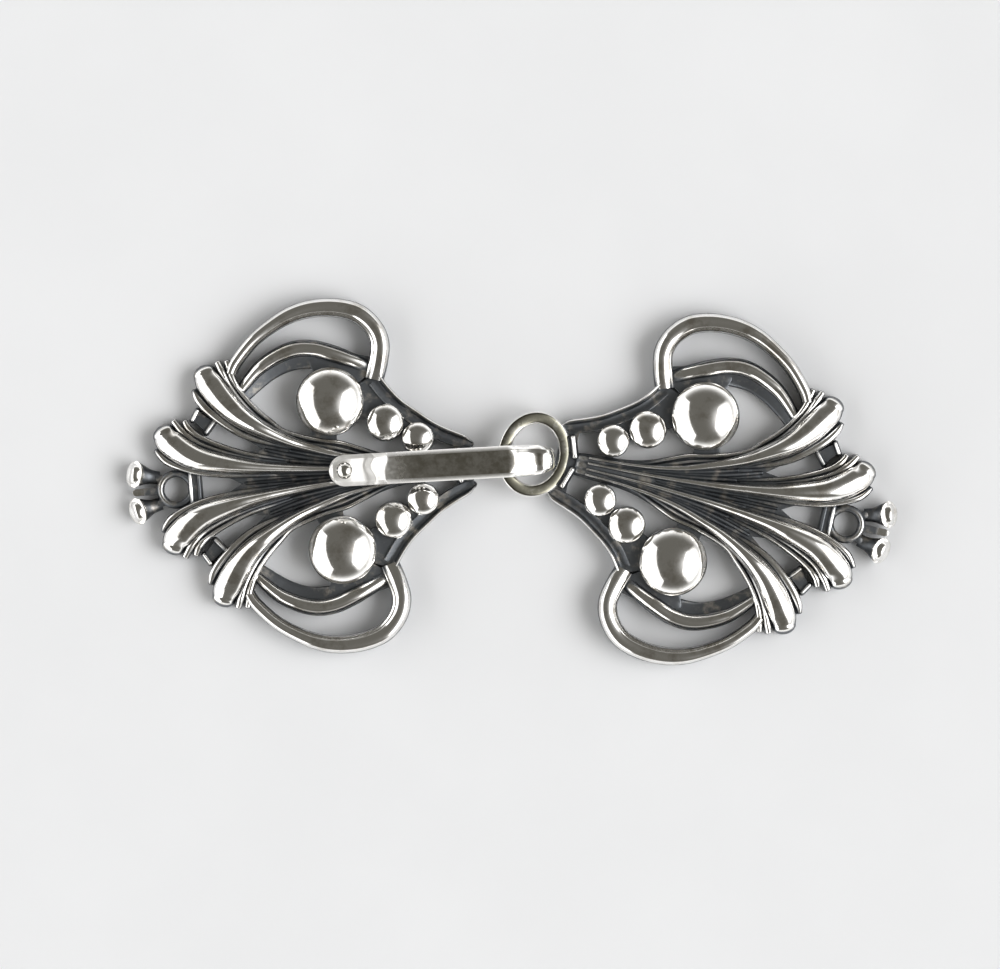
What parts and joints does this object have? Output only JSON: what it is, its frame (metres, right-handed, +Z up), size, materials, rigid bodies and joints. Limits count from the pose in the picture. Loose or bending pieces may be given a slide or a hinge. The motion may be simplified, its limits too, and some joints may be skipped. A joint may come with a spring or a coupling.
{
  "type": "hook and eye clasp",
  "caption": "Hook and eye clasp: openwork fan plates with balls and petals, joined by a flat hook that passes through a raised ring.",
  "frame": {"origin": "on the flat back of the hook plate, midway between its two large balls", "axes": "+X along the hook half, from its fan towards the ring; +Z up out of the backs that the clasp lies on"},
  "size_m": [0.0532, 0.0276, 0.0034],
  "materials": {
    "cast_silver": "polished cast silver, darkened in its hollows",
    "hook_silver": "polished silver strip",
    "rivet_silver": "polished silver wire"
  },
  "bodies": {
    "hook_half": {"hook_plate": "cast_silver", "hook": "hook_silver", "hook_rivet": "rivet_silver"},
    "eye_half": {"eye_plate": "cast_silver"}
  },
  "joints": [
    {"name": "eye_swivel", "type": "hinge", "parent": "hook_half", "child": "eye_half", "pos_m": [0.01393, 0.0003, 0], "axis": [0, 0, 1], "range_deg": [-40, 75]}
  ]
}
